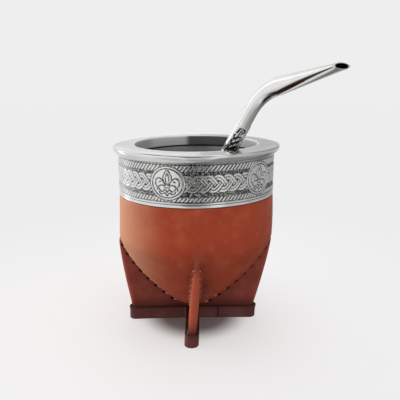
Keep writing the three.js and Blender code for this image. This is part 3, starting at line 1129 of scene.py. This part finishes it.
def places_at(distances, path):
    """Places on a path of straight stretches, by their distances along it."""
    lengths = lengths_along(path)
    return np.column_stack([np.interp(distances, lengths, values) for values in path.T])


def spaced(path, count):
    """A path again, with evenly spaced places."""
    return places_at(np.linspace(0.0, lengths_along(path)[-1], count), path)


def fin_sheet(start, foot_reach):
    """Places over one side of the fin, in its plane: rows along the seam, columns out to the edge."""
    seam = spaced(bowl_edge_path(start), FIN_ROWS)
    along = np.gradient(seam, axis=0)
    along /= np.hypot(along[:, 0], along[:, 1])[:, None]
    outward = np.column_stack([along[:, 1], -along[:, 0]])
    inner = seam - outward * 0.5
    foot = np.array([[max(start, seam[0, 0]), FIN_FOOT_HEIGHT], [foot_reach, FIN_FOOT_HEIGHT]])
    edge_heights = np.linspace(FIN_FOOT_HEIGHT, FIN_FADE_HEIGHT, 60)[1:]
    edge = np.column_stack([fin_reach_at(edge_heights, foot_reach), edge_heights])
    upright = spaced(np.vstack([foot[1:], edge]), FIN_ROWS - FIN_FOOT_ROWS)
    outer = np.vstack([spaced(foot, FIN_FOOT_ROWS + 1)[:-1], upright])
    rows = []
    for place, end in zip(inner, outer):
        length = math.hypot(*(end - place))
        near = min(FIN_SEAM_ZONE, 0.5 * length)
        rounding = min(FIN_HALF, 0.3 * length)
        distances = list(np.linspace(0.0, near, FIN_NEAR))
        distances += list(np.linspace(near, length - rounding, FIN_MIDDLE)[1:])
        turns = np.linspace(0.0, math.pi / 2, FIN_EDGE)[1:]
        distances += list(length - rounding * (1.0 - np.sin(turns)))
        rows.append(place + np.outer(np.array(distances) / max(length, 1e-6), end - place))
    return np.array(rows), seam, outer


def stitch_places(seam):
    """Each stitch's middle and slant along the seam."""
    distances = np.arange(STITCH_FIRST, lengths_along(seam)[-1] - STITCH_LAST_GAP, STITCH_PITCH)
    here = places_at(distances, seam)
    run = places_at(distances + 0.5, seam) - here
    run /= np.hypot(run[:, 0], run[:, 1])[:, None]
    out = np.column_stack([run[:, 1], -run[:, 0]])
    return list(zip(here + out * STITCH_OFFSET, run * 0.94 + out * 0.34))


def fin_thickness(height, off_bowl, off_edge):
    """Half the fin's thickness: rounded at the outer edge, and filleted into the bowl."""
    half = fin_half_at(height)
    round_off = np.clip(off_edge / half, 0.0, 1.0)
    into = np.clip(FILLET - np.clip(off_bowl, 0.0, FILLET), 0.0, FILLET)
    fillet = (FILLET - np.sqrt(FILLET ** 2 - into ** 2)) * np.clip(off_edge / 2.0, 0.0, 1.0)
    return half * np.sqrt(1.0 - (1.0 - round_off) ** 2) + fillet


def fin_cover(sheet, seam, outer, stitches, shades):
    """Half thickness at each place of one side, and where it has painted shade, is burnished or is bowl
    leather.
    """
    reach, height = sheet[..., 0], sheet[..., 1]
    off_bowl = distance_to_path(reach, height, [tuple(place) for place in seam[::3]])
    inside = (reach < bowl_radius_at(np.clip(height, BOWL_TIP, BAND_FOOT))) & (height > BOWL_TIP)
    off_bowl = np.where(inside, -off_bowl, off_bowl)
    off_edge = distance_to_path(reach, height, [tuple(place) for place in outer[::2]])
    hole = np.zeros(reach.shape)
    # Painted shade in the stitch holes
    for place, slant in stitches:
        half_slit = slant * (STITCH_HALF_LENGTH - 0.35)
        slit = [tuple(place - half_slit), tuple(place + half_slit)]
        hole = np.maximum(hole, blend_share(0.8, 0.4, distance_to_path(reach, height, slit)))
    hole = np.where(off_edge > 1.0, hole, 0.0)
    thickness = fin_thickness(height, off_bowl, off_edge) - STITCH_HOLE_DEPTH * hole
    # Painted shade: darker at the foot, on the sides low down, and at the top
    dark = FOOT_SHADE * blend_share(BELT_HEIGHT + shades.foot_rise, BELT_HEIGHT, height)
    side = shades.side * blend_share(0.5, 1.5, off_edge) * blend_share(*SIDE_SHADE_HEIGHTS, height)
    dark = dark + (1.0 - dark) * side + shades.top * blend_share(*TOP_SHADE_HEIGHTS, height)
    edge = blend_share(2.6, 0.6, off_edge) * blend_share(BELT_HEIGHT, BELT_HEIGHT + 3.0, height)
    seam_cover = blend_share(1.3, 0.7, off_bowl)
    top_cover = blend_share(shades.blends_from, FIN_FADE_HEIGHT - 3.0, height)
    return thickness, {
        "pit": np.maximum(hole, dark),
        "edge": shades.burnish * edge,
        "cover": np.maximum(seam_cover, top_cover),
    }


def stand_fin(points, arm):
    """Turns places given as reach, sideways and height to the arm's direction, and leans them."""
    angle = math.radians(arm.turn)
    reach, sideways, height = points[:, 0], points[:, 1], points[:, 2]
    x = reach * math.cos(angle) - sideways * math.sin(angle)
    y = reach * math.sin(angle) + sideways * math.cos(angle)
    x = x + lean_at(height) + arm.lean * height / FIN_TOP_HEIGHT
    return np.column_stack([x, y, height])


def make_fin_side(name, sheet, sideways, shades):
    """One side of a fin: a grid whose corners are set out over the sheet."""
    rows, columns = sheet.shape[:2]
    deselect_all()
    bpy.ops.mesh.primitive_grid_add(x_subdivisions=columns - 1, y_subdivisions=rows - 1, size=1.0)
    piece = bpy.context.object
    piece.name = name
    flat = points_of(piece)
    column = np.rint((flat[:, 0] + 0.5) * (columns - 1)).astype(int)
    row = np.rint((flat[:, 1] + 0.5) * (rows - 1)).astype(int)
    places = np.column_stack([sheet[row, column, 0], sideways[row, column], sheet[row, column, 1]])
    place_points(piece, places)
    for shade, values in shades.items():
        paint(piece, shade, values[row, column])
    return piece


def make_fin(arm, leather):
    """One fin: two mirrored sides, joined round the edge and closed at the seam."""
    foot_reach = arm.reach - BELT_THICKNESS - GAP
    sheet, seam, outer = fin_sheet(arm.plate_start, foot_reach)
    stitches = stitch_places(seam)
    sideways, shades = fin_cover(sheet, seam, outer, stitches, arm.shades)
    name = f"{arm.name}_leather"
    piece = join(name, [make_fin_side(name, sheet, way * sideways, shades) for way in (-1.0, 1.0)])
    edit(piece)
    select_mesh()
    bpy.ops.mesh.remove_doubles(threshold=0.01)
    close_ends(piece)
    place_points(piece, stand_fin(points_of(piece), arm))
    finish_piece(piece, leather, [arm.name], 60.0)
    return stitches


def make_threads(arm, stitches, fibre):
    """The thread that shows in each stitch, at the lower end of its hole, on both sides of a fin."""
    threads = []
    for place, slant in stitches:
        half = float(fin_half_at(place[1]))
        middle = place - slant
        for side in (-1.0, 1.0):
            deselect_all()
            bpy.ops.mesh.primitive_uv_sphere_add(segments=8, ring_count=6, radius=THREAD_RADIUS)
            thread = bpy.context.object
            flat = points_of(thread)
            points = np.column_stack([
                middle[0] + flat[:, 2] * THREAD_STRETCH * slant[0] + flat[:, 0] * slant[1],
                side * (half + THREAD_PROUD) + flat[:, 1],
                middle[1] + flat[:, 2] * THREAD_STRETCH * slant[1] - flat[:, 0] * slant[0],
            ])
            place_points(thread, stand_fin(points, arm))
            threads.append(thread)
    piece = join(f"{arm.name}_thread", threads)
    faces_outward(piece)
    finish_piece(piece, fibre, smooth=80.0)


# Belt

def arrow(turn):
    return np.array([math.cos(math.radians(turn)), math.sin(math.radians(turn))])


def inside_corner(turn, next_turn, side):
    """Where the facing sides of two neighbouring arms meet in the plan."""
    between = math.radians(next_turn - turn)
    along = side * (1.0 + math.cos(between)) / math.sin(between)
    return arrow(turn) * along + arrow(turn + 90.0) * side


def cross_outline(side, shrink):
    """The outline round all four arms, with half-round ends and rounded inside corners."""
    outline = []
    for arm, following in zip(ARMS, ARMS[1:] + ARMS[:1]):
        next_turn = following.turn + (360.0 if following.turn < arm.turn else 0.0)
        end = arrow(arm.turn) * (arm.reach - shrink - side)
        for step in range(13):
            outline.append(end + arrow(arm.turn - 90.0 + step * 15.0) * side)
        corner = inside_corner(arm.turn, next_turn, side)
        before = corner + arrow(arm.turn) * BELT_INSIDE_ROUND
        after = corner + arrow(next_turn) * BELT_INSIDE_ROUND
        straight = outline[-1]
        outline += [mix_values(straight, before, share) for share in (0.25, 0.5, 0.75)]
        outline.append(before)
        outline += [np.array(place) for place in quadratic(before, corner, after, 6)]
        next_end = arrow(next_turn) * (following.reach - shrink - side) + arrow(next_turn - 90.0) * side
        outline += [mix_values(after, next_end, share) for share in (0.25, 0.5, 0.75)]
    return outline


def make_belt(leather):
    """One strip of leather round the foot cross, its two ends meeting on the right arm's front."""
    side = FIN_HALF + GAP + BELT_THICKNESS / 2
    outline = cross_outline(side, BELT_THICKNESS / 2)
    joint = np.array([BELT_JOINT_REACH, -side])
    split = None
    for number, (before, after) in enumerate(zip(outline, outline[1:])):
        level = abs(before[1] + side) < 0.01 and abs(after[1] + side) < 0.01
        if level and before[0] < joint[0] <= after[0]:
            split = number
    half_slit = np.array([BELT_JOINT_WIDTH / 2, 0.0])
    beside = half_slit + np.array([BELT_JOINT_DARK, 0.0])
    path = [joint + half_slit, joint + beside] + outline[split + 1:] + outline[:split + 1]
    path += [joint - beside, joint - half_slit]
    corners = [(float(x), float(y), 0.0) for x, y in path]
    piece = draw_chain("belt_strip", corners, closed=False)
    for _ in range(BELT_ROWS):
        extrude((0.0, 0.0, BELT_HEIGHT / BELT_ROWS))
    leave_facing_outward()
    apply_modifier(piece, "SOLIDIFY", thickness=BELT_THICKNESS, offset=0.0, use_even_offset=True)
    faces_outward(piece)
    sharp = math.radians(50.0)
    apply_modifier(piece, "BEVEL", width=BELT_BEVEL, segments=3, limit_method="ANGLE", angle_limit=sharp)
    points = points_of(piece)
    # Painted shade in the belt's joint
    from_joint = np.hypot(points[:, 0] - joint[0], np.maximum(points[:, 1] + side, 0.0) / 2.0)
    paint(piece, "pit", 0.9 * blend_share(BELT_JOINT_DARK, 0.3, from_joint))
    flare = BELT_FLARE * blend_share(BELT_HEIGHT - 2.2, BELT_HEIGHT - 0.5, points[:, 2])
    for arm in ARMS:
        way = arrow(arm.turn)
        tip = blend_share(arm.reach - 6.0, arm.reach, points[:, 0] * way[0] + points[:, 1] * way[1])
        points[:, 0] += way[0] * flare * tip
        points[:, 1] += way[1] * flare * tip
    points[:, 0] += lean_at(points[:, 2])
    place_points(piece, points)
    edge = blend_share(BELT_HEIGHT - 0.9, BELT_HEIGHT - 0.2, points[:, 2])
    paint(piece, "edge", np.maximum(edge, blend_share(0.8, 0.1, points[:, 2])))
    finish_piece(piece, leather, ["belt"], 50.0)


# Straw

def straw_place(distance):
    """The middle line at a distance from the bulb's end: reach from the axis, height and tilt."""
    straight = np.minimum(distance, LOWER_LENGTH)
    turned_by = np.clip((distance - LOWER_LENGTH) / STRAW_BEND_RADIUS, 0.0, BEND_ANGLE)
    beyond = np.maximum(distance - BEND_END, 0.0)
    tilt = STRAW_TILT + turned_by
    reach = STRAW_MOUTH_REACH + (straight - STRAW_BELOW_MOUTH) * math.sin(STRAW_TILT)
    reach = reach + STRAW_BEND_RADIUS * (math.cos(STRAW_TILT) - np.cos(tilt)) + beyond * np.sin(tilt)
    height = MOUTH_HEIGHT + (straight - STRAW_BELOW_MOUTH) * math.cos(STRAW_TILT)
    height = height + STRAW_BEND_RADIUS * (np.sin(tilt) - math.sin(STRAW_TILT)) + beyond * np.cos(tilt)
    return reach, height, tilt


def straw_section(distance):
    """Half the width and depth: round below the bend, flat at the mouthpiece."""
    bend = straight_share(LOWER_LENGTH, BEND_END, distance)
    upper = straight_share(BEND_END, STRAW_LENGTH, distance)
    depth = mix_values(mix_values(STRAW_RADIUS, STRAW_BEND_HALF_DEPTH, bend), STRAW_TIP_HALF_DEPTH, upper)
    width = mix_values(mix_values(STRAW_RADIUS, STRAW_BEND_HALF_WIDTH, bend), STRAW_TIP_HALF_WIDTH, upper)
    return width, depth


def straw_outline():
    """The straight straw's profile: closed bulb, tube, and the bore down from the mouthpiece."""
    bulb_steps = 64
    bore_foot, bore_tip = 30.0, 28.0
    bulb_turn = math.pi - math.asin(STRAW_RADIUS / BULB_RADIUS)
    outline = [(0.0, 0.0)]
    for step in range(1, bulb_steps + 1):
        angle = step / bulb_steps * bulb_turn
        outline.append((BULB_RADIUS * math.sin(angle), BULB_HALF_LENGTH * (1.0 - math.cos(angle))))
    lip = STRAW_WALL / 2
    stations = list(np.linspace(outline[-1][1] + 1.0, ENGRAVING_FOOT, 16))
    for end, count in ((ENGRAVING_TOP, 120), (LOWER_LENGTH, 5), (BEND_END, 26), (STRAW_LENGTH - lip, 22)):
        stations += list(np.linspace(stations[-1], end, count)[1:])
    outline += [(STRAW_RADIUS, float(station)) for station in stations]
    bore = STRAW_RADIUS - STRAW_WALL
    for step in range(1, 6):
        angle = math.pi * step / 6
        across, along = lip * math.cos(angle), lip * math.sin(angle)
        outline.append((STRAW_RADIUS - lip + across, STRAW_LENGTH - lip + along))
    bore_stations = [station for station in stations[::-1] if station > ENGRAVING_TOP]
    outline += [(bore, float(station)) for station in bore_stations]
    outline += [(bore, bore_foot), (0.0, bore_tip)]
    return outline


def straw_engraving(angle, distance):
    """Two dark engraved fields of leaves on opposite sides of the tube, a dash and a hook over each."""
    pitch = math.pi * STRAW_RADIUS
    x = ((angle - ENGRAVING_FACES) * STRAW_RADIUS + pitch / 2) % pitch - pitch / 2
    y = distance - ENGRAVING_FOOT
    field_top = ENGRAVING_BELOW_MOUTH + ENGRAVING_ABOVE_MOUTH - 4.6
    leaf_pitch = 3.6
    edge = 2.15 + 0.3 * np.sin(2 * math.pi * y / leaf_pitch)
    cut = blend_share(edge + 0.14, edge - 0.14, np.abs(x))
    for side, lift in ((-1.15, 0.0), (0.1, 1.8), (1.3, 0.7)):
        along = (y + lift) % leaf_pitch - leaf_pitch / 2
        across = x - side - 0.3 * along
        leaf = np.hypot(across / 0.36, along / 1.35)
        cut = cut * (1.0 - blend_share(1.2, 0.8, leaf))
    cut = cut * blend_share(0.0, 0.4, y) * blend_share(field_top, field_top - 0.4, y)
    dash = [(-1.5, field_top + 0.9), (-1.0, field_top + 3.6)]
    hook = [(0.2, field_top + 3.9), (1.5, field_top + 3.5), (1.5, field_top + 2.0), (0.4, field_top + 1.2)]
    for path in (dash, hook):
        cut = np.maximum(cut, blend_share(0.52, 0.3, distance_to_path(x, y, path)))
    knots = np.sin(angle * 9.0 + y * 2.0) * np.sin(angle * 5.0 - y * 3.1)
    from_mouth = np.abs(y - ENGRAVING_BELOW_MOUTH + 0.4)
    collar = blend_share(2.0, 1.5, from_mouth) * blend_share(0.45, 0.2, knots)
    return np.maximum(cut, collar) * (y > 0.0)


def straw_painted_reflection(angle, distance):
    """A painted dark reflection: a long dark line on the underside, from the bend to the mouthpiece."""
    start = LOWER_LENGTH + 0.3 * BEND_LENGTH
    share = straight_share(start, STRAW_LENGTH, distance)
    middle = mix_values(246.0, 190.0, share)
    half_width = 6.0 + 9.0 * np.sin(math.pi * share)
    off = np.abs(np.degrees(angle) % 360.0 - middle)
    line = blend_share(half_width + 4.0, half_width - 4.0, off)
    return line * blend_share(0.0, 0.08, share) * blend_share(1.0, 0.96, share)


def bulb_holes(angle, distance):
    """Rows of small filter holes round the bulb, staggered."""
    row_pitch = 2.0
    around = 14
    row = np.floor(distance / row_pitch)
    turn = (angle / (2 * math.pi) * around + 0.5 * (row % 2)) % 1.0 - 0.5
    x = turn * 2 * math.pi * BULB_RADIUS / around
    y = distance - (row + 0.5) * row_pitch
    inside = (distance > 2 * row_pitch) & (distance < 2 * BULB_HALF_LENGTH - 2 * row_pitch)
    return blend_share(0.55, 0.35, np.hypot(x, y)) * inside


def make_straw(metal):
    piece = turned("straw_tube", straw_outline(), STRAW_STEPS, closed=False)
    points = points_of(piece)
    x, y, distance = points.T
    radius = np.hypot(x, y)
    is_bore = (radius < STRAW_RADIUS - STRAW_WALL / 2) & (distance > 2 * BULB_HALF_LENGTH)
    angle = np.arctan2(y, x)
    engraved = np.where(is_bore, 0.0, straw_engraving(angle, distance))
    holes = np.where(is_bore, 0.0, bulb_holes(angle, distance))
    sleeve = blend_share(ENGRAVING_FOOT - 1.0, ENGRAVING_FOOT, distance)
    sleeve = sleeve * blend_share(ENGRAVING_TOP + 1.5, ENGRAVING_TOP, distance)
    raised = np.where(is_bore, 0.0, ENGRAVED_SLEEVE * sleeve)
    relief = raised - ENGRAVING_DEPTH * engraved - BULB_HOLE_DEPTH * holes
    shrink = 1.0 + relief / np.maximum(radius, 0.1)
    x, y = x * shrink, y * shrink
    width, depth = straw_section(distance)
    thinning = straight_share(LOWER_LENGTH, STRAW_LENGTH, distance)
    wall = np.where(is_bore, mix_values(STRAW_WALL, STRAW_TIP_WALL, thinning), 0.0)
    round_radius = np.where(is_bore, STRAW_RADIUS - STRAW_WALL, STRAW_RADIUS)
    across = x * (width - wall) / round_radius
    upward = y * (depth - wall) / round_radius
    reach, height, tilt = straw_place(distance)
    reach = reach - upward * np.cos(tilt)
    height = height + upward * np.sin(tilt)
    placed = np.column_stack([
        AXIS + reach * math.cos(STRAW_TURN) - across * math.sin(STRAW_TURN),
        reach * math.sin(STRAW_TURN) + across * math.cos(STRAW_TURN),
        height,
    ])
    place_points(piece, placed)
    paint(piece, "oxide", np.clip(engraved + holes, 0.0, 1.0))
    # Painted dark reflection along the underside, from the bend to the mouthpiece
    paint(piece, "streak", np.where(is_bore, 0.0, straw_painted_reflection(angle, distance)))
    faces_outward(piece)
    finish_piece(piece, metal, ["straw"], 60.0)


# Stage, light and camera

def make_floor():
    deselect_all()
    bpy.ops.mesh.primitive_plane_add(size=6.0, location=(0.0, 0.0, 0.0))
    floor = bpy.context.object
    floor.name = "studio_floor"
    floor.data.materials.append(make_floor_finish())
    floor.visible_glossy = False
    floor.visible_diffuse = False


class Sky(Nodes):
    """The studio seen by the metals: plain bright and dark walls, by direction."""

    def __init__(self, level):
        world = bpy.data.worlds.new("studio")
        bpy.context.scene.world = world
        world.use_nodes = True
        self.tree = world.node_tree
        self.tree.nodes.clear()
        spread = self.add("ShaderNodeSeparateXYZ")
        self.link(self.add("ShaderNodeTexCoord").outputs["Generated"], spread.inputs[0])
        x, y, z = spread.outputs
        self.turn = self.maths("ARCTAN2", x, self.times(y, -1.0))
        self.rise = self.maths("ARCSINE", z)
        self.level = level

    def window(self, source, edges, soft):
        """1 between two angles and 0 outside them."""
        rising, falling = (
            self.share(source, math.radians(edge - soft), math.radians(edge + soft)) for edge in edges
        )
        return self.maths("SUBTRACT", rising, falling)

    def wall(self, value, turns, rises, soft):
        """Lays a wall of one brightness over what is there, between two turns and two rises."""
        across = self.window(self.turn, turns, soft)
        inside = self.times(across, self.window(self.rise, rises, soft))
        kept = self.times(self.maths("SUBTRACT", 1.0, inside), self.level)
        self.level = self.plus(kept, self.times(inside, value))

    def finish(self):
        """Shows the camera a plain backdrop, and dims the walls from below for what is lit by them."""
        backdrop = self.add("ShaderNodeBackground")
        self.link(rgb(BACKDROP, BACKDROP, BACKDROP), backdrop.inputs["Color"])
        ray = self.add("ShaderNodeLightPath")
        soft = math.radians(3.0)
        under = self.times(self.share(self.rise, soft, -soft), ray.outputs["Is Diffuse Ray"])
        dimmed = self.maths("SUBTRACT", 1.0, self.times(under, 1.0 - UNDER_LIGHT))
        walls = self.add("ShaderNodeBackground")
        self.link(self.times(self.level, dimmed), walls.inputs["Color"])
        either = self.add("ShaderNodeMixShader")
        sources = (ray.outputs["Is Camera Ray"], walls.outputs[0], backdrop.outputs[0])
        for source, socket in zip(sources, either.inputs):
            self.link(source, socket)
        self.link(either.outputs[0], self.add("ShaderNodeOutputWorld").inputs["Surface"])


def make_studio():
    sky = Sky(STUDIO_LEVEL)
    for wall in STUDIO_WALLS:
        sky.wall(*wall)
    sky.finish()


def placed_in_scene(name, data):
    """A lamp or a camera as an object of the scene."""
    thing = bpy.data.objects.new(name, data)
    bpy.context.collection.objects.link(thing)
    return thing


def make_softbox(name, power, width, turn, rise):
    """A wide far lamp that lights only the leather and its thread."""
    data = bpy.data.lights.new(name, "SUN")
    data.energy = power
    data.angle = math.radians(width)
    lamp = placed_in_scene(name, data)
    turn, rise = math.radians(turn), math.radians(rise)
    towards = Vector((math.sin(turn) * math.cos(rise), -math.cos(turn) * math.cos(rise), math.sin(rise)))
    lamp.rotation_euler = towards.to_track_quat("Z", "Y").to_euler()
    lit = bpy.data.collections.new(f"{name}_pieces")
    for piece in bpy.context.scene.objects:
        if piece.type == "MESH" and piece.name.startswith(LAMP_LIT):
            lit.objects.link(piece)
    lamp.light_linking.receiver_collection = lit


def make_camera():
    data = bpy.data.cameras.new("photo_camera")
    data.lens = CAMERA_LENS
    data.sensor_width = 36.0
    camera = placed_in_scene("photo_camera", data)
    camera.location = [value * MM for value in CAMERA_PLACE]
    camera.rotation_euler = (math.pi / 2 - CAMERA_PITCH, 0.0, 0.0)
    bpy.context.scene.camera = camera


def make_cup():
    ring_metal = make_ring_metal()
    make_ring(ring_metal)
    make_ornament(ring_metal)
    make_liner(make_liner_steel())
    make_bowl(make_bowl_leather())
    fin_leather = make_fin_leather()
    fibre = make_thread_fibre()
    for arm in ARMS:
        stitches = make_fin(arm, fin_leather)
        make_threads(arm, stitches, fibre)
    make_belt(make_belt_leather())
    make_straw(make_straw_metal())


bpy.context.scene.view_settings.view_transform = "Standard"
make_camera()
make_floor()
make_studio()
make_cup()
make_softbox("side_softbox", power=2.8, width=42.0, turn=-112.0, rise=16.0)
make_softbox("front_softbox", power=1.2, width=50.0, turn=5.0, rise=45.0)
